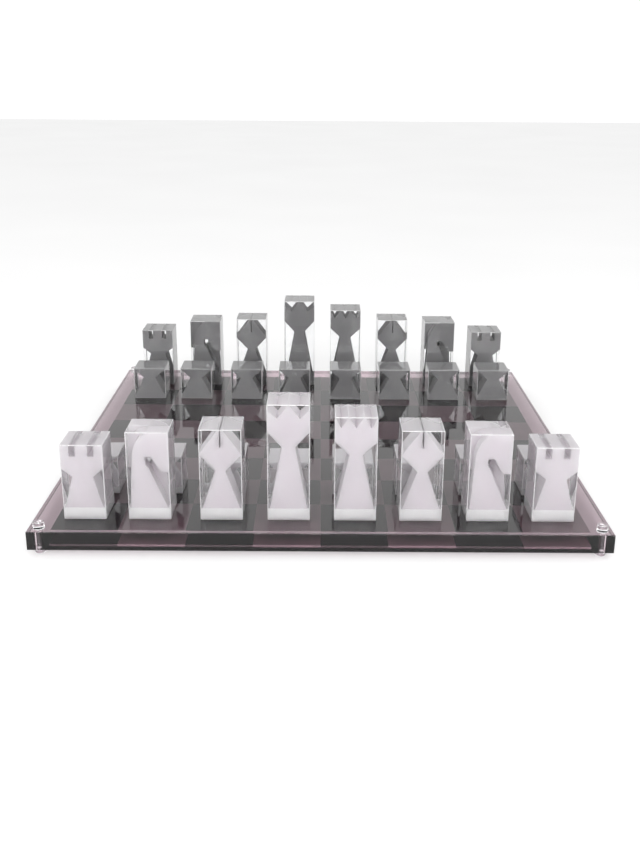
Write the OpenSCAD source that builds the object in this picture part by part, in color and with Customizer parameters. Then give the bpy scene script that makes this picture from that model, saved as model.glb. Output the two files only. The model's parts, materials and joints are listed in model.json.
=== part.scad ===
// Chess set of solid acrylic blocks on a smoked acrylic board with a clear peg in each corner.
// Origin: middle of the board, on the surface it stands on. +Z is up, the white set is on the -Y side.

/* [Board] */
// Side of one square of the playing field
square_size = 44.45; // [38:0.05:60]
// Plain border around the playing field
border = 12.7; // [10:0.1:30]
// Thickness of the slab
slab_t = 12.7; // [8:0.1:20]
// Thickness of the tiles let into the underside
tile_t = 0.8; // [0.4:0.1:2]
// Gap between neighbouring tiles
tile_gap = 0.1; // [0.05:0.05:0.5]

/* [Corner pegs] */
// Distance from a peg's axis to the two nearest edges
peg_inset = 7; // [6:0.1:9]
// Diameter of a peg's head
peg_head_d = 7.4; // [6:0.1:9]
// Height of a peg's head above the slab
peg_head_h = 4.5; // [2:0.1:8]
// Diameter of a peg's shank
peg_shank_d = 4.4; // [3:0.1:5.4]
// Radial clearance between a shank and the holes around it
peg_clearance = 0.1; // [0.05:0.01:0.3]
// Diameter of a foot
foot_d = 6.8; // [6:0.1:9]
// Height of a foot, which lifts the slab off the table
foot_h = 4; // [2.5:0.1:8]
// Thickness left below the hole in a foot
foot_floor = 1.2; // [0.6:0.1:2]

/* [Blocks] */
// Width and depth of every playing piece
block_w = 28; // [23:0.5:34]
// Height of a king
king_h = 80.5; // [66:0.5:98]
// Height of a queen
queen_h = 72.3; // [60:0.1:88]
// Height of a bishop
bishop_h = 63.3; // [52:0.1:76]
// Height of a knight
knight_h = 61.2; // [50:0.1:74]
// Height of a rook
rook_h = 52.3; // [43:0.1:63]
// Height of a pawn
pawn_h = 28; // [23:0.5:34]

/* [Base of the figures] */
// Height of the full-width band at an officer's foot
band_h = 8.5; // [4:0.1:12]
// Height of the same band on a pawn
pawn_band_h = 5; // [3:0.1:7]
// How far a figure steps in above its band, on each side
band_step = 1.5; // [0.5:0.1:3]

/* [Crowns] */
// Flat width left at the tip of a tooth
tooth_flat_w = 0.6; // [0.4:0.1:1.2]

/* [King] */
// Height of the full-width part of the head
king_head_h = 18.3; // [12:0.1:20]
// Height of the slope under the head
king_slope_h = 10.6; // [7:0.1:12]
// Width of the neck
king_neck_w = 9; // [6:0.1:14]
// Distance from the block's side to the bottom of a notch of the crown
king_notch_in = 6.7; // [5.5:0.1:8]
// Depth of a notch of the crown
king_notch_d = 9.4; // [6:0.1:11]
// Drop of the crown's outer points below the top
king_point_drop = 3.1; // [1:0.1:4]

/* [Queen] */
// Height of the full-width part of the head
queen_head_h = 16.8; // [11:0.1:18]
// Height of the slope under the head
queen_slope_h = 9; // [6:0.1:12]
// Width of the neck
queen_neck_w = 9; // [6:0.1:14]
// Distance from the block's side to the bottom of an outer notch of the crown
queen_notch_in = 4.1; // [3.5:0.1:5]
// Distance from the block's side to the tooth inside that notch
queen_tooth_in = 8.9; // [7.5:0.1:9.5]
// Depth of a notch of the crown
queen_notch_d = 7.4; // [5:0.1:9]

/* [Bishop] */
// Height of the roof-shaped top, down to the side points
bishop_roof_h = 16.8; // [12:0.1:20]
// Flat height of the side points
bishop_point_h = 0.4; // [0.3:0.1:3]
// Height of the slope under the side points
bishop_slope_h = 11.3; // [8:0.1:14]
// Width of the neck
bishop_neck_w = 6.9; // [5:0.1:12]
// Flat width at the very top
bishop_tip_w = 3.2; // [1.8:0.1:8]
// Width of the cut in the mitre
mitre_cut_w = 0.8; // [0.5:0.1:1.2]
// Depth of the cut in the mitre
mitre_cut_d = 12; // [6:0.1:14]

/* [Knight] */
// How far the back of the neck stands in from the block's side
nape_inset = 3.5; // [2:0.1:5]
// Depth of the nape, where the mane's curve begins, below the top
nape_drop = 19.7; // [15:0.1:24]
// Distance from the middle to the centre of the mane's curve
mane_x = 4; // [0:0.1:5]
// Height by which the mane's curve would rise past the top of the block
mane_over = 0.7; // [0.5:0.1:2]
// Depth of the muzzle's underside below the top
muzzle_drop = 27.6; // [24:0.1:32]
// Distance from the middle to the inner end of the muzzle's underside
chin_x = 8.3; // [6.5:0.1:10]
// Distance that the throat's cut reaches past the middle
throat_over = 1.5; // [0.6:0.1:2]
// Depth below the top of the throat's blunt inner end, at its upper side
throat_drop = 17.2; // [15:0.1:19]
// Height of that blunt end
throat_end_h = 4.8; // [3:0.1:6]
// Distance from the middle to the corner above the blunt end
throat_corner_x = 2.2; // [1:0.1:4]
// Distance from the middle to the bend in the throat's lower side
throat_bend_x = 0.8; // [0.2:0.1:3]
// Depth of that bend below the top
throat_bend_drop = 25; // [23.2:0.1:27]
// Distance from the middle to the chest where it turns outward
chest_x = 7.1; // [5.5:0.1:9]
// Depth of that turn below the top
chest_drop = 39.5; // [36:0.1:44]

/* [Rook] */
// Height of the full-width part of the head
rook_head_h = 16.4; // [11:0.1:18]
// Height of the slope under the head
rook_slope_h = 5.7; // [3:0.1:9]
// Width of the neck
rook_neck_w = 13.8; // [10:0.1:19]
// Distance from the middle to each battlement slot
rook_slot_x = 6.1; // [4:0.1:8]
// Width of a battlement slot
rook_slot_w = 4; // [2.5:0.1:6]
// Depth of a battlement slot
rook_slot_d = 7.9; // [4:0.1:10]

/* [Pawn] */
// Flat height of the sides at the very top
pawn_rim_h = 0.7; // [0.4:0.1:3]
// Height of the slope under the rim
pawn_slope_h = 7.7; // [5:0.1:9]
// Width of the waist
pawn_waist_w = 10.4; // [7:0.1:14]
// Thickness of the glue line around the clear wedges
pawn_glue_t = 0.02; // [0.01:0.01:0.1]

/* [Hidden] */
// Sideways slip of each block from its square's centre, files a to h
white_slip = [-0.5, -2, 1, 1, 0.5, -0.5, -0.5, -1.5];
dark_slip = [2.5, 3, 1.5, 2, 0.5, 0, -0.5, -1];
white_pawn_slip = [0, 0, 0, 0, 0, 0, 0, 0];
dark_pawn_slip = [1, -1.5, -0.5, -1.5, 0, 0, 0, 0];

squares = 8;
middle = (squares - 1) / 2;
field_w = squares * square_size;
board_w = field_w + 2 * border;
deck_z = foot_h + slab_t;
peg_hole_d = peg_shank_d + 2 * peg_clearance;
mane_steps = 20;
cut_past = 1;
$fn = 48;

smoke = [0.33, 0.29, 0.30, 0.75];
clear = [0.88, 0.92, 0.94, 0.35];
frost = [0.93, 0.92, 0.94];
graphite = [0.34, 0.35, 0.35];
pale_tile = [0.62, 0.57, 0.57];
dark_tile = [0.18, 0.16, 0.18];

CORNERS = [
    ["front_left", [-1, -1]],
    ["front_right", [1, -1]],
    ["back_left", [-1, 1]],
    ["back_right", [1, 1]]
];
FILES = ["a", "b", "c", "d", "e", "f", "g", "h"];
OFFICERS = [
    ["rook_a", "rook"],
    ["knight_b", "knight"],
    ["bishop_c", "bishop"],
    ["king", "king"],
    ["queen", "queen"],
    ["bishop_f", "bishop"],
    ["knight_g", "knight"],
    ["rook_h", "rook"]
];
// Name, colour of the figures, then the row and the slips of the officers and of the pawns
SETS = [
    ["white", frost, 0, white_slip, 1, white_pawn_slip],
    ["dark", graphite, squares - 1, dark_slip, squares - 2, dark_pawn_slip]
];

// Completes an outline drawn on the +X side with its mirror image
function both_sides(half) = concat(
    half,
    [for (i = [len(half) - 1:-1:0]) if (half[i][0] > 0) [-half[i][0], half[i][1]]]
);

// The +X side of a figure from its foot up to the point where the head reaches full width
function stem(height, head_h, slope_h, neck_w, band) = [
    [block_w / 2, 0],
    [block_w / 2, band],
    [block_w / 2 - band_step, band],
    [neck_w / 2, height - head_h - slope_h],
    [block_w / 2, height - head_h]
];

// The gap beside a stem, out to the side of the block
function stem_gap(points) = [for (i = [1:4]) points[i]];

king_stem = stem(king_h, king_head_h, king_slope_h, king_neck_w, band_h);
king_notch = [
    [block_w / 2, king_h - king_point_drop],
    [block_w / 2 - king_notch_in, king_h - king_notch_d],
    [tooth_flat_w / 2, king_h]
];
king_outline = both_sides(concat(king_stem, king_notch));

queen_stem = stem(queen_h, queen_head_h, queen_slope_h, queen_neck_w, band_h);
queen_tooth_x = block_w / 2 - queen_tooth_in;
queen_side_notch = [
    [block_w / 2 - tooth_flat_w / 2, queen_h],
    [block_w / 2 - queen_notch_in, queen_h - queen_notch_d],
    [queen_tooth_x + tooth_flat_w / 2, queen_h]
];
queen_middle_notch = [
    [queen_tooth_x - tooth_flat_w / 2, queen_h],
    [0, queen_h - queen_notch_d]
];
queen_outline = both_sides(concat(
    queen_stem,
    [[block_w / 2, queen_h]],
    queen_side_notch,
    queen_middle_notch
));

bishop_stem = stem(
    bishop_h, bishop_roof_h + bishop_point_h, bishop_slope_h, bishop_neck_w, band_h
);
bishop_roof = [
    [block_w / 2, bishop_h - bishop_roof_h],
    [bishop_tip_w / 2, bishop_h]
];
mitre_cut = [
    [mitre_cut_w / 2, bishop_h],
    [mitre_cut_w / 2, bishop_h - mitre_cut_d]
];
bishop_outline = both_sides(concat(bishop_stem, bishop_roof, mitre_cut));

rook_stem = stem(rook_h, rook_head_h, rook_slope_h, rook_neck_w, band_h);
rook_slot = [
    [rook_slot_x + rook_slot_w / 2, rook_h],
    [rook_slot_x + rook_slot_w / 2, rook_h - rook_slot_d],
    [rook_slot_x - rook_slot_w / 2, rook_h - rook_slot_d],
    [rook_slot_x - rook_slot_w / 2, rook_h]
];
rook_outline = both_sides(concat(rook_stem, [[block_w / 2, rook_h]], rook_slot));

pawn_stem = stem(pawn_h, pawn_rim_h, pawn_slope_h, pawn_waist_w, pawn_band_h);
pawn_outline = both_sides(concat(pawn_stem, [[block_w / 2, pawn_h]]));
// A pawn's clear wedge stays a glue line clear of the figure
pawn_wedge = [
    [block_w / 2, pawn_band_h + pawn_glue_t],
    [block_w / 2 - band_step + pawn_glue_t, pawn_band_h + pawn_glue_t],
    [pawn_waist_w / 2 + pawn_glue_t, pawn_h - pawn_rim_h - pawn_slope_h],
    [block_w / 2, pawn_h - pawn_rim_h - pawn_glue_t]
];

// The mane: part of an ellipse from the top of the block down to the nape
mane_a = block_w / 2 - nape_inset + mane_x;
mane_b = nape_drop + mane_over;
mane_top = asin(nape_drop / mane_b);
mane = [
    for (i = [0:mane_steps])
        let (t = mane_top * (1 - i / mane_steps))
            [mane_x - mane_a * cos(t), knight_h - nape_drop + mane_b * sin(t)]
];
mane_gap = concat(
    [[-block_w / 2, band_h], [-block_w / 2, knight_h]],
    mane,
    [[band_step - block_w / 2, band_h]]
);
throat_gap = [
    [block_w / 2, band_h],
    [block_w / 2 - band_step, band_h],
    [chest_x, knight_h - chest_drop],
    [throat_bend_x, knight_h - throat_bend_drop],
    [-throat_over, knight_h - throat_drop - throat_end_h],
    [-throat_over, knight_h - throat_drop],
    [throat_corner_x, knight_h - throat_drop],
    [chin_x, knight_h - muzzle_drop],
    [block_w / 2, knight_h - muzzle_drop]
];
// A horse's head that looks towards +X
horse_outline = concat(
    [[-block_w / 2, 0], [block_w / 2, 0]],
    throat_gap,
    [[block_w / 2, knight_h]],
    mane,
    [[band_step - block_w / 2, band_h], [-block_w / 2, band_h]]
);

function outline_of(kind) =
    kind == "king" ? king_outline :
    kind == "queen" ? queen_outline :
    kind == "bishop" ? bishop_outline :
    kind == "rook" ? rook_outline : pawn_outline;

// The gaps on the +X side of a figure, each repeated as a mirror image on the other side
function side_gaps(kind) =
    kind == "king" ? [stem_gap(king_stem), concat(king_notch, [[block_w / 2, king_h]])] :
    kind == "queen" ? [stem_gap(queen_stem), queen_side_notch] :
    kind == "bishop" ? [stem_gap(bishop_stem), concat(bishop_roof, [[block_w / 2, bishop_h]])] :
    kind == "rook" ? [stem_gap(rook_stem), rook_slot] : [pawn_wedge];

// The gaps on the middle line of a figure
function middle_gaps(kind) =
    kind == "queen" ? [both_sides(queen_middle_notch)] :
    kind == "bishop" ? [both_sides(mitre_cut)] : [];

// Stands an outline upright in X and Z, and gives it depth along +Y from front_y
module upright(outline, front_y, depth) {
    translate([0, front_y + depth, 0])
        rotate([90, 0, 0])
            linear_extrude(depth)
                polygon(outline);
}

// A knight's front half, and the same half turned round for its back half
module both_halves() {
    for (turn = [0, 180])
        rotate([0, 0, turn])
            children();
}

module figure_shape(kind) {
    if (kind == "knight")
        both_halves()
            upright(horse_outline, -block_w / 2, block_w / 2);
    else
        upright(outline_of(kind), -block_w / 2, block_w);
}

// Clear acrylic in every gap of a figure, so that the two together are a plain block
module infill_shape(kind) {
    if (kind == "knight")
        both_halves() {
            upright(mane_gap, -block_w / 2, block_w / 2);
            upright(throat_gap, -block_w / 2, block_w / 2);
        }
    else {
        for (side = [0, 1])
            mirror([side, 0, 0])
                for (gap = side_gaps(kind))
                    upright(gap, -block_w / 2, block_w);
        for (gap = middle_gaps(kind))
            upright(gap, -block_w / 2, block_w);
    }
}

// Puts a piece on its square: file 0 is on the left, row 0 is the nearest
module on_square(file, row, slip) {
    translate([(file - middle) * square_size + slip, (row - middle) * square_size, deck_z])
        children();
}

module at_corner(corner) {
    reach = board_w / 2 - peg_inset;
    translate([corner[0] * reach, corner[1] * reach, 0])
        children();
}

module slab() {
    color(smoke)
    difference() {
        translate([-board_w / 2, -board_w / 2, foot_h])
            cube([board_w, board_w, slab_t]);
        translate([-field_w / 2, -field_w / 2, foot_h - cut_past])
            cube([field_w, field_w, tile_t + cut_past]);
        for (c = CORNERS)
            at_corner(c[1])
                translate([0, 0, foot_h - cut_past])
                    cylinder(d = peg_hole_d, h = slab_t + 2 * cut_past);
    }
}

// Every other square of the playing field, from the near left one when parity is 0
module tiles(parity) {
    side = square_size - tile_gap;
    for (file = [0:squares - 1])
        for (row = [0:squares - 1])
            if ((file + row) % 2 == parity)
                translate([(file - middle) * square_size, (row - middle) * square_size, foot_h + tile_t / 2])
                    cube([side, side, tile_t], center = true);
}

module dark_tiles() {
    color(dark_tile)
        tiles(0);
}

module pale_tiles() {
    color(pale_tile)
        tiles(1);
}

module peg(corner) {
    color(clear)
    at_corner(corner) {
        translate([0, 0, deck_z])
            cylinder(d = peg_head_d, h = peg_head_h);
        translate([0, 0, foot_floor])
            cylinder(d = peg_shank_d, h = deck_z - foot_floor + peg_head_h / 2);
    }
}

module foot(corner) {
    color(clear)
    at_corner(corner)
        difference() {
            cylinder(d = foot_d, h = foot_h);
            translate([0, 0, foot_floor])
                cylinder(d = peg_hole_d, h = foot_h);
        }
}

module officer_figure(set, file) {
    color(set[1])
        on_square(file, set[2], set[3][file])
            figure_shape(OFFICERS[file][1]);
}

module officer_infill(set, file) {
    color(clear)
        on_square(file, set[2], set[3][file])
            infill_shape(OFFICERS[file][1]);
}

// A pawn is three solids: its figure, and a clear wedge at each side of the waist
module pawn(set, file) {
    on_square(file, set[4], set[5][file]) {
        color(set[1])
            figure_shape("pawn");
        color(clear)
            infill_shape("pawn");
    }
}

slab();
pale_tiles();
dark_tiles();
for (c = CORNERS) {
    peg(c[1]);
    foot(c[1]);
}
for (s = SETS)
    for (file = [0:squares - 1]) {
        name = str(s[0], "_", OFFICERS[file][0]);
        officer_figure(s, file);
        officer_infill(s, file);
        pawn(s, file);
    }
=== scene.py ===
import json
import math
import bpy
from mathutils import Matrix, Vector


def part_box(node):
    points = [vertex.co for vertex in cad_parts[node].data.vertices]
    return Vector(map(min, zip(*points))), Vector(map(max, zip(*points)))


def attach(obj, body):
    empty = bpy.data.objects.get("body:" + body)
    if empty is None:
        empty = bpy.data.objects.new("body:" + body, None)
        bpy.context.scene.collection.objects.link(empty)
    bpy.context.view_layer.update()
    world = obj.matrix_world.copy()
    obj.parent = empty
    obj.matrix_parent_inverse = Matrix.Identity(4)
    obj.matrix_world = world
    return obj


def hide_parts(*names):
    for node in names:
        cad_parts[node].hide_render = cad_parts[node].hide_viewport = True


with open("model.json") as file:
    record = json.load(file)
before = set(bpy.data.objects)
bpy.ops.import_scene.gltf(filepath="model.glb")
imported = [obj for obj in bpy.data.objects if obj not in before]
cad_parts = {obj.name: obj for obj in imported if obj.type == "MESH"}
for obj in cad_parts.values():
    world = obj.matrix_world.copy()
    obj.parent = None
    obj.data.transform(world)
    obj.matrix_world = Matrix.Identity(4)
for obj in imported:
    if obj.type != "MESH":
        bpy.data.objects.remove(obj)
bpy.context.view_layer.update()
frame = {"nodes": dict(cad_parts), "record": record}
millimetre = 0.001
squareOn = 0.99  # least part of a normal along one axis on a flat face
corners = ("front_left", "front_right", "back_left", "back_right")


def deselectAll():
    if bpy.context.object and bpy.context.object.mode != "OBJECT":
        bpy.ops.object.mode_set(mode="OBJECT")
    bpy.ops.object.select_all(action="DESELECT")


def selectOnly(piece):
    deselectAll()
    piece.select_set(True)
    bpy.context.view_layer.objects.active = piece


def startEditing(piece, select="SELECT"):
    selectOnly(piece)
    bpy.ops.object.mode_set(mode="EDIT")
    bpy.ops.mesh.select_mode(type="EDGE")
    bpy.ops.mesh.select_all(action=select)


def stopEditing():
    bpy.ops.object.mode_set(mode="OBJECT")


def selectFaces(piece, wanted):
    # chooses faces by a test on their centre and normal, then goes back to edit mode
    bpy.ops.object.mode_set(mode="OBJECT")
    for face in piece.data.polygons:
        face.select = wanted(face.center, face.normal)
    bpy.ops.object.mode_set(mode="EDIT")
    bpy.ops.mesh.select_mode(type="FACE")


def finishPiece(piece, name, body, material, nodes=(), smooth=30):
    selectOnly(piece)
    bpy.ops.object.transform_apply(location=True, rotation=True, scale=True)
    bpy.ops.object.shade_smooth_by_angle(angle=math.radians(smooth))
    piece.name = name
    piece.data.name = name
    piece.data.materials.clear()
    piece.data.materials.append(material)
    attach(piece, body)
    if nodes:
        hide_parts(*nodes)
    deselectAll()


def addBlock(low, high, edge):
    # a cube brought to the size of a box, with its edges eased
    deselectAll()
    bpy.ops.mesh.primitive_cube_add(size=1, location=(low + high) / 2)
    piece = bpy.context.object
    startEditing(piece)
    bpy.ops.transform.resize(value=high - low, center_override=(low + high) / 2)
    bpy.ops.mesh.bevel(offset=edge, segments=2, affect="EDGES")
    stopEditing()
    return piece


def newMaterial(name):
    material = bpy.data.materials.new(name)
    material.use_nodes = True
    return material, material.node_tree.nodes, material.node_tree.links


def addNoise(nodes, links, scale, detail):
    place = nodes.new("ShaderNodeTexCoord")
    noise = nodes.new("ShaderNodeTexNoise")
    noise.inputs["Scale"].default_value = scale
    noise.inputs["Detail"].default_value = detail
    links.new(place.outputs["Object"], noise.inputs["Vector"])
    return noise


def addRamp(nodes, links, source, stops):
    ramp = nodes.new("ShaderNodeValToRGB")
    ramp.color_ramp.elements[0].position = stops[0][0]
    ramp.color_ramp.elements[0].color = (*stops[0][1], 1)
    ramp.color_ramp.elements[1].position = stops[1][0]
    ramp.color_ramp.elements[1].color = (*stops[1][1], 1)
    links.new(source, ramp.inputs["Fac"])
    return ramp


def addRange(nodes, links, source, fromLow, fromHigh, toLow, toHigh):
    change = nodes.new("ShaderNodeMapRange")
    change.inputs["From Min"].default_value = fromLow
    change.inputs["From Max"].default_value = fromHigh
    change.inputs["To Min"].default_value = toLow
    change.inputs["To Max"].default_value = toHigh
    links.new(source, change.inputs["Value"])
    return change


def makeClearAcrylic():
    look = {"ior": 1.49, "smudgeScale": 60, "smudgeDetail": 4, "from": 0.55, "to": 0.8, "roughest": 0.03}
    material, nodes, links = newMaterial("clearAcrylic")
    shader = nodes["Principled BSDF"]
    shader.inputs["Base Color"].default_value = (0.98, 0.985, 0.99, 1)
    shader.inputs["IOR"].default_value = look["ior"]
    shader.inputs["Transmission Weight"].default_value = 1
    noise = addNoise(nodes, links, look["smudgeScale"], look["smudgeDetail"])
    rough = addRange(nodes, links, noise.outputs["Fac"], look["from"], look["to"], 0, look["roughest"])
    links.new(rough.outputs["Result"], shader.inputs["Roughness"])
    return material


def makeSmokeAcrylic():
    look = {
        "ior": 1.49, "density": 60, "tint": (0.367, 0.133, 0.233),
        "smudgeScale": 25, "smudgeDetail": 5, "from": 0.55, "to": 0.85, "roughest": 0.04
    }
    material, nodes, links = newMaterial("smokeAcrylic")
    shader = nodes["Principled BSDF"]
    shader.inputs["Base Color"].default_value = (0.97, 0.96, 0.97, 1)
    shader.inputs["IOR"].default_value = look["ior"]
    shader.inputs["Transmission Weight"].default_value = 1
    noise = addNoise(nodes, links, look["smudgeScale"], look["smudgeDetail"])
    rough = addRange(nodes, links, noise.outputs["Fac"], look["from"], look["to"], 0, look["roughest"])
    links.new(rough.outputs["Result"], shader.inputs["Roughness"])
    absorption = nodes.new("ShaderNodeVolumeAbsorption")
    absorption.inputs["Color"].default_value = (*look["tint"], 1)
    absorption.inputs["Density"].default_value = look["density"]
    links.new(absorption.outputs["Volume"], nodes["Material Output"].inputs["Volume"])
    return material


def makeSandedEdge():
    look = {
        "ior": 1.49, "clear": 0.55,
        "grainScale": 900, "grainDetail": 3, "from": 0.3, "to": 0.7, "rough": (0.25, 0.45)
    }
    material, nodes, links = newMaterial("sandedEdge")
    shader = nodes["Principled BSDF"]
    shader.inputs["Base Color"].default_value = (0.97, 0.965, 0.97, 1)
    shader.inputs["IOR"].default_value = look["ior"]
    shader.inputs["Transmission Weight"].default_value = look["clear"]
    grain = addNoise(nodes, links, look["grainScale"], look["grainDetail"])
    rough = addRange(nodes, links, grain.outputs["Fac"], look["from"], look["to"], *look["rough"])
    links.new(rough.outputs["Result"], shader.inputs["Roughness"])
    return material


def addPaintedLightBandMask(nodes, links):
    # 1 in the full-width band at a figure's foot and 0 above it, with the officers in the outer rows;
    # painted light: it marks where the foot band is painted lighter than the rest of the figure
    band = {"officers": 8.5, "pawns": 5, "outerRow": 133, "blend": 0.3}
    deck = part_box("slab")[1].z
    place = nodes.new("ShaderNodeTexCoord")
    split = nodes.new("ShaderNodeSeparateXYZ")
    links.new(place.outputs["Object"], split.inputs["Vector"])
    distance = nodes.new("ShaderNodeMath")
    distance.operation = "ABSOLUTE"
    links.new(split.outputs["Y"], distance.inputs[0])
    row = band["outerRow"] * millimetre
    top = addRange(
        nodes, links, distance.outputs["Value"], row, row + millimetre,
        deck + band["pawns"] * millimetre, deck + band["officers"] * millimetre
    )
    above = nodes.new("ShaderNodeMath")
    above.operation = "SUBTRACT"
    links.new(split.outputs["Z"], above.inputs[0])
    links.new(top.outputs["Result"], above.inputs[1])
    blend = band["blend"] * millimetre
    return addRange(nodes, links, above.outputs["Value"], -blend, blend, 1, 0)


def makeFigureColour(name, dark, light, foot, spread, glow):
    # dyed acrylic seen through clear acrylic, so it has no shine of its own; the full-width band at its
    # foot is a real part, but its lighter colour is painted light
    look = {
        "cloudScale": 30, "cloudDetail": 6, "roughness": 0.5,
        "grainScale": 1500, "grainDetail": 3, "relief": 0.15, "depth": 0.05
    }
    firstColour, secondColour, mixedColour = 6, 7, 2  # places of the colour sockets on a mix node
    material, nodes, links = newMaterial(name)
    shader = nodes["Principled BSDF"]
    cloud = addNoise(nodes, links, look["cloudScale"], look["cloudDetail"])
    ramp = addRamp(nodes, links, cloud.outputs["Fac"], [(0.35, dark), (0.65, light)])
    paintedLightMask = addPaintedLightBandMask(nodes, links)
    blend = nodes.new("ShaderNodeMix")
    blend.data_type = "RGBA"
    links.new(paintedLightMask.outputs["Result"], blend.inputs["Factor"])
    links.new(ramp.outputs["Color"], blend.inputs[firstColour])
    # painted light: the foot band gets its own lighter colour, standing in for the light that band
    # catches
    blend.inputs[secondColour].default_value = (*foot, 1)
    links.new(blend.outputs[mixedColour], shader.inputs["Base Color"])
    shader.inputs["Roughness"].default_value = look["roughness"]
    shader.inputs["Specular IOR Level"].default_value = 0
    shader.inputs["Subsurface Weight"].default_value = glow
    shader.inputs["Subsurface Radius"].default_value = (1, 1, 1)
    shader.inputs["Subsurface Scale"].default_value = spread * millimetre
    grain = addNoise(nodes, links, look["grainScale"], look["grainDetail"])
    relief = nodes.new("ShaderNodeBump")
    relief.inputs["Strength"].default_value = look["relief"]
    relief.inputs["Distance"].default_value = look["depth"] * millimetre
    links.new(grain.outputs["Fac"], relief.inputs["Height"])
    links.new(relief.outputs["Normal"], shader.inputs["Normal"])
    return material


def makeTileColour(name, dark, light):
    look = {
        "cloudScale": 40, "cloudDetail": 6,
        "grainScale": 1200, "grainDetail": 3, "from": 0.3, "to": 0.7, "rough": (0.45, 0.6)
    }
    material, nodes, links = newMaterial(name)
    shader = nodes["Principled BSDF"]
    cloud = addNoise(nodes, links, look["cloudScale"], look["cloudDetail"])
    ramp = addRamp(nodes, links, cloud.outputs["Fac"], [(0.35, dark), (0.65, light)])
    links.new(ramp.outputs["Color"], shader.inputs["Base Color"])
    grain = addNoise(nodes, links, look["grainScale"], look["grainDetail"])
    rough = addRange(nodes, links, grain.outputs["Fac"], look["from"], look["to"], *look["rough"])
    links.new(rough.outputs["Result"], shader.inputs["Roughness"])
    return material


clearAcrylic = makeClearAcrylic()
sandedEdge = makeSandedEdge()
smokeAcrylic = makeSmokeAcrylic()
# frostedWhite's near-white foot colour against its greyer body is painted light on the foot band;
# graphite's foot colour matches its body
frostedWhite = makeFigureColour(
    "frostedWhite", dark=(0.76, 0.715, 0.75), light=(0.79, 0.75, 0.78), foot=(0.998, 0.985, 0.995),
    spread=12, glow=1
)
graphite = makeFigureColour(
    "graphite", dark=(0.335, 0.33, 0.335), light=(0.365, 0.36, 0.365), foot=(0.35, 0.345, 0.35),
    spread=1, glow=0
)
paleTile = makeTileColour("paleTile", (0.46, 0.40, 0.42), (0.52, 0.45, 0.47))
darkTile = makeTileColour("darkTile", (0.009, 0.006, 0.007), (0.014, 0.010, 0.012))
print("materials made")

board = {"edge": 0.4, "border": 12.7, "pocket": 0.7, "holeRadius": 2.3, "drill": 100, "sides": 64}


def makeSlab():
    low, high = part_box("slab")
    piece = addBlock(low, high, board["edge"] * millimetre)
    startEditing(piece, "DESELECT")
    selectFaces(piece, lambda centre, normal: normal.z < -squareOn)
    bpy.ops.mesh.inset(thickness=(board["border"] - board["edge"]) * millimetre, depth=0)
    bpy.ops.mesh.extrude_region_move(TRANSFORM_OT_translate={"value": (0, 0, 0)})
    bpy.ops.transform.translate(value=(0, 0, board["pocket"] * millimetre))
    stopEditing()
    for corner in corners:
        pegLow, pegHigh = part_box("peg_" + corner)
        centre = (pegLow + pegHigh) / 2
        deselectAll()
        bpy.ops.mesh.primitive_cylinder_add(
            vertices=board["sides"], radius=board["holeRadius"] * millimetre,
            depth=board["drill"] * millimetre, location=(centre.x, centre.y, (low.z + high.z) / 2)
        )
        drill = bpy.context.object
        selectOnly(piece)
        cut = piece.modifiers.new("pegHole", "BOOLEAN")
        cut.operation = "DIFFERENCE"
        cut.solver = "EXACT"
        cut.object = drill
        bpy.ops.object.modifier_apply(modifier=cut.name)
        bpy.data.objects.remove(drill)
    finishPiece(piece, "boardSlab", "board", smokeAcrylic, ["slab"], smooth=15)


makeSlab()
for tileNode, tileMaterial in (("pale_tiles", paleTile), ("dark_tiles", darkTile)):
    tiles = frame["nodes"][tileNode]
    tiles.data.materials.clear()
    tiles.data.materials.append(tileMaterial)
print("board made")

pegs = {"sides": 64, "shankRadius": 2.2, "headGap": 0.03, "ease": 0.35}


def makePeg(corner):
    low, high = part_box("peg_" + corner)
    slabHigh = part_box("slab")[1]
    centre = (low + high) / 2
    shankTop = slabHigh.z + pegs["headGap"] * millimetre
    shankRadius = pegs["shankRadius"] * millimetre
    headRadius = (high.x - low.x) / 2
    deselectAll()
    bpy.ops.mesh.primitive_cylinder_add(
        vertices=pegs["sides"], radius=shankRadius, depth=shankTop - low.z,
        location=(centre.x, centre.y, (shankTop + low.z) / 2)
    )
    piece = bpy.context.object
    startEditing(piece, "DESELECT")
    selectFaces(piece, lambda middle, normal: normal.z > squareOn)
    grow = headRadius / shankRadius
    middle = Vector((centre.x, centre.y, shankTop))
    bpy.ops.mesh.extrude_region_move(TRANSFORM_OT_translate={"value": (0, 0, 0)})
    bpy.ops.transform.resize(value=(grow, grow, 1), center_override=middle)
    bpy.ops.mesh.extrude_region_move(TRANSFORM_OT_translate={"value": (0, 0, high.z - shankTop)})
    bpy.ops.mesh.select_mode(type="EDGE")
    bpy.ops.mesh.region_to_loop()
    bpy.ops.mesh.bevel(offset=pegs["ease"] * millimetre, segments=3, affect="EDGES")
    stopEditing()
    node = "peg_" + corner
    finishPiece(piece, node + "_round", "board", clearAcrylic, [node])


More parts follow.
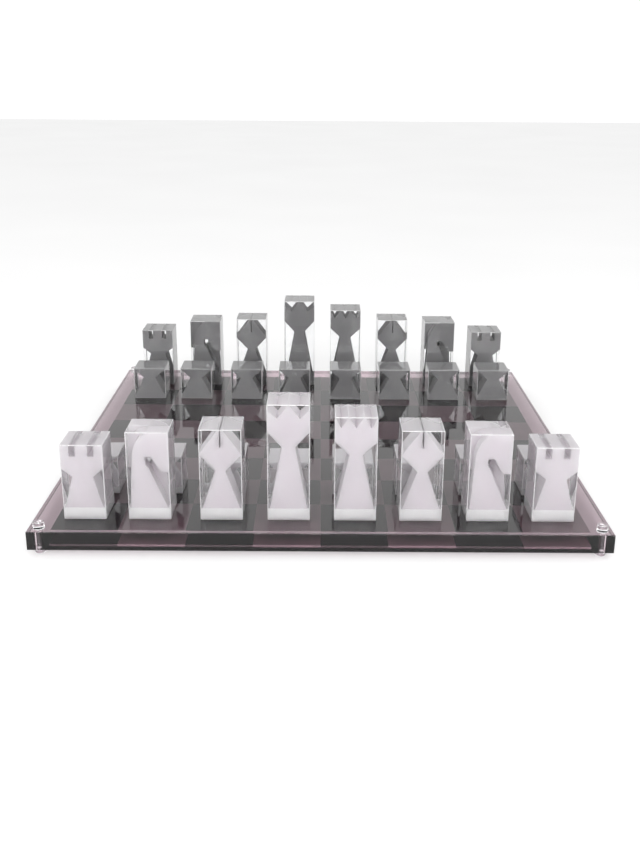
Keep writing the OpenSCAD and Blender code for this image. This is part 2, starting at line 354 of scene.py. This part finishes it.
def makeFoot(corner):
    low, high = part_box("foot_" + corner)
    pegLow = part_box("peg_" + corner)[0]
    centre = (low + high) / 2
    radius = (high.x - low.x) / 2
    gap = pegs["headGap"] * millimetre
    top = high.z - gap
    deselectAll()
    bpy.ops.mesh.primitive_cylinder_add(
        vertices=pegs["sides"], radius=radius, depth=top - low.z,
        location=(centre.x, centre.y, (top + low.z) / 2)
    )
    piece = bpy.context.object
    startEditing(piece, "DESELECT")
    selectFaces(piece, lambda middle, normal: normal.z < -squareOn)
    bpy.ops.mesh.select_mode(type="EDGE")
    bpy.ops.mesh.region_to_loop()
    bpy.ops.mesh.bevel(offset=pegs["ease"] * millimetre, segments=3, affect="EDGES")
    bpy.ops.mesh.select_all(action="DESELECT")
    selectFaces(piece, lambda middle, normal: normal.z > squareOn)
    bpy.ops.mesh.inset(thickness=radius - board["holeRadius"] * millimetre, depth=0)
    bpy.ops.mesh.extrude_region_move(TRANSFORM_OT_translate={"value": (0, 0, 0)})
    bpy.ops.transform.translate(value=(0, 0, pegLow.z - gap - top))
    stopEditing()
    node = "foot_" + corner
    finishPiece(piece, node + "_round", "board", clearAcrylic, [node])


for corner in corners:
    makePeg(corner)
    makeFoot(corner)
print("corner pegs made")

pieces = {"edge": 0.5, "cutEdge": 0.15, "skin": 0.05, "lift": 0.03}


def copyNode(node):
    # a merged copy of a node from the frame, with flat faces instead of loose triangles
    piece = bpy.data.objects.new(node + "_copy", frame["nodes"][node].data.copy())
    bpy.context.scene.collection.objects.link(piece)
    selectOnly(piece)
    bpy.ops.mesh.customdata_custom_splitnormals_clear()
    startEditing(piece)
    bpy.ops.mesh.remove_doubles(threshold=0.001 * millimetre)
    bpy.ops.mesh.dissolve_limited(angle_limit=math.radians(1))
    stopEditing()
    return piece


def keepLargest(piece):
    # a pawn's node also holds its two clear wedges, which the clear block stands for
    startEditing(piece)
    bpy.ops.mesh.separate(type="LOOSE")
    stopEditing()
    parts = list(bpy.context.selected_objects)
    parts.sort(key=lambda part: part.dimensions.x * part.dimensions.y * part.dimensions.z)
    for part in parts[:-1]:
        bpy.data.objects.remove(part)
    return parts[-1]


def makeFigure(node, low, high):
    # the solid figure, cast a thin skin inside the clear block
    piece = keepLargest(copyNode(node))
    skin = pieces["skin"] * millimetre
    inner = Vector([1 - 2 * skin / side for side in high - low])
    startEditing(piece)
    bpy.ops.transform.resize(value=inner, center_override=(low + high) / 2)
    bpy.ops.mesh.select_all(action="DESELECT")
    bpy.ops.mesh.edges_select_sharp(sharpness=math.radians(30))
    bpy.ops.mesh.bevel(offset=pieces["cutEdge"] * millimetre, segments=1, affect="EDGES")
    stopEditing()
    return piece


def makeBlock(low, high):
    # a block with eased edges and its bottom lifted a hair; makePlayingPiece then makes it clear and
    # sands its eased edges
    bottom = low + Vector((0, 0, pieces["lift"] * millimetre))
    return addBlock(bottom, high, pieces["edge"] * millimetre)


def sandEdges(piece):
    piece.data.materials.append(sandedEdge)
    for face in piece.data.polygons:
        if max(abs(part) for part in face.normal) < squareOn:
            face.material_index = 1


def makePlayingPiece(body, material):
    nodes = frame["record"]["behaviour"]["bodies"][body]
    low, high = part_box(nodes[0])
    figure = makeFigure(nodes[0], low, high)
    block = makeBlock(low, high)
    finishPiece(block, body + "_block", body, clearAcrylic, nodes[-1:], smooth=1)
    sandEdges(block)
    finishPiece(figure, body + "_cut", body, material, nodes[:1], smooth=12)


for body in frame["record"]["behaviour"]["bodies"]:
    if body.startswith("white"):
        makePlayingPiece(body, frostedWhite)
    elif body.startswith("dark"):
        makePlayingPiece(body, graphite)
print("playing pieces made")

studio = {
    "floorSize": 12, "floorDrop": 0.05, "floorGlow": 0.27,
    "reach": (-0.9, 0.1), "strength": (0.25, 1.05), "seen": 1.1
}


def makeFloor():
    material, nodes, links = newMaterial("paleFloor")
    shader = nodes["Principled BSDF"]
    noise = addNoise(nodes, links, 3, 2)
    shades = [(0.3, (0.80, 0.80, 0.80)), (0.7, (0.82, 0.82, 0.82))]
    ramp = addRamp(nodes, links, noise.outputs["Fac"], shades)
    links.new(ramp.outputs["Color"], shader.inputs["Base Color"])
    links.new(ramp.outputs["Color"], shader.inputs["Emission Color"])
    shader.inputs["Emission Strength"].default_value = studio["floorGlow"]
    shader.inputs["Roughness"].default_value = 0.9
    shader.inputs["Specular IOR Level"].default_value = 0
    deselectAll()
    place = (0, 0, -studio["floorDrop"] * millimetre)
    bpy.ops.mesh.primitive_plane_add(size=studio["floorSize"], location=place)
    floor = bpy.context.object
    floor.name = "floor"
    floor.data.materials.append(material)


def makeWorld():
    world = bpy.data.worlds.new("studio")
    bpy.context.scene.world = world
    world.use_nodes = True
    nodes, links = world.node_tree.nodes, world.node_tree.links
    place = nodes.new("ShaderNodeTexCoord")
    split = nodes.new("ShaderNodeSeparateXYZ")
    links.new(place.outputs["Generated"], split.inputs["Vector"])
    depth = addRange(nodes, links, split.outputs["Y"], *studio["reach"], *studio["strength"])
    path = nodes.new("ShaderNodeLightPath")
    choose = nodes.new("ShaderNodeMix")
    links.new(path.outputs["Is Camera Ray"], choose.inputs["Factor"])
    links.new(depth.outputs["Result"], choose.inputs["A"])
    choose.inputs["B"].default_value = studio["seen"]
    links.new(choose.outputs["Result"], nodes["Background"].inputs["Strength"])
    nodes["Background"].inputs["Color"].default_value = (1, 1, 1, 1)


view = {
    "place": (-1.7, -795.2, 299.6), "tilt": 71.395, "roll": 0.362, "turn": -0.077,
    "lens": 43.42, "sensor": 36, "shiftY": -0.0107, "nearest": 10
}


def makeCamera():
    deselectAll()
    bpy.ops.object.camera_add()
    camera = bpy.context.object
    place = Matrix.Translation(Vector(view["place"]) * millimetre)
    turn = Matrix.Rotation(math.radians(view["turn"]), 4, "Z")
    tilt = Matrix.Rotation(math.radians(view["tilt"]), 4, "X")
    roll = Matrix.Rotation(math.radians(view["roll"]), 4, "Z")
    camera.matrix_world = place @ turn @ tilt @ roll
    camera.data.sensor_width = view["sensor"]
    camera.data.lens = view["lens"]
    camera.data.shift_y = view["shiftY"]
    camera.data.clip_start = view["nearest"] * millimetre
    bpy.context.scene.camera = camera


softLight = {"place": (0, -1600, 650), "width": 2.4, "height": 1.0, "power": 33}


def makeSoftLight():
    deselectAll()
    place = Vector(softLight["place"]) * millimetre
    bpy.ops.object.light_add(type="AREA", location=place)
    light = bpy.context.object
    light.rotation_euler = place.to_track_quat("Z", "Y").to_euler()
    light.data.shape = "RECTANGLE"
    light.data.size = softLight["width"]
    light.data.size_y = softLight["height"]
    light.data.energy = softLight["power"]


makeFloor()
makeWorld()
makeSoftLight()
makeCamera()
scene = bpy.context.scene
scene.view_settings.view_transform = "Standard"
scene.view_settings.look = "None"
scene.cycles.max_bounces = 32
scene.cycles.transmission_bounces = 32
scene.cycles.glossy_bounces = 12
scene.cycles.diffuse_bounces = 6
scene.cycles.transparent_max_bounces = 16
scene.cycles.use_denoising = True
print("studio made")
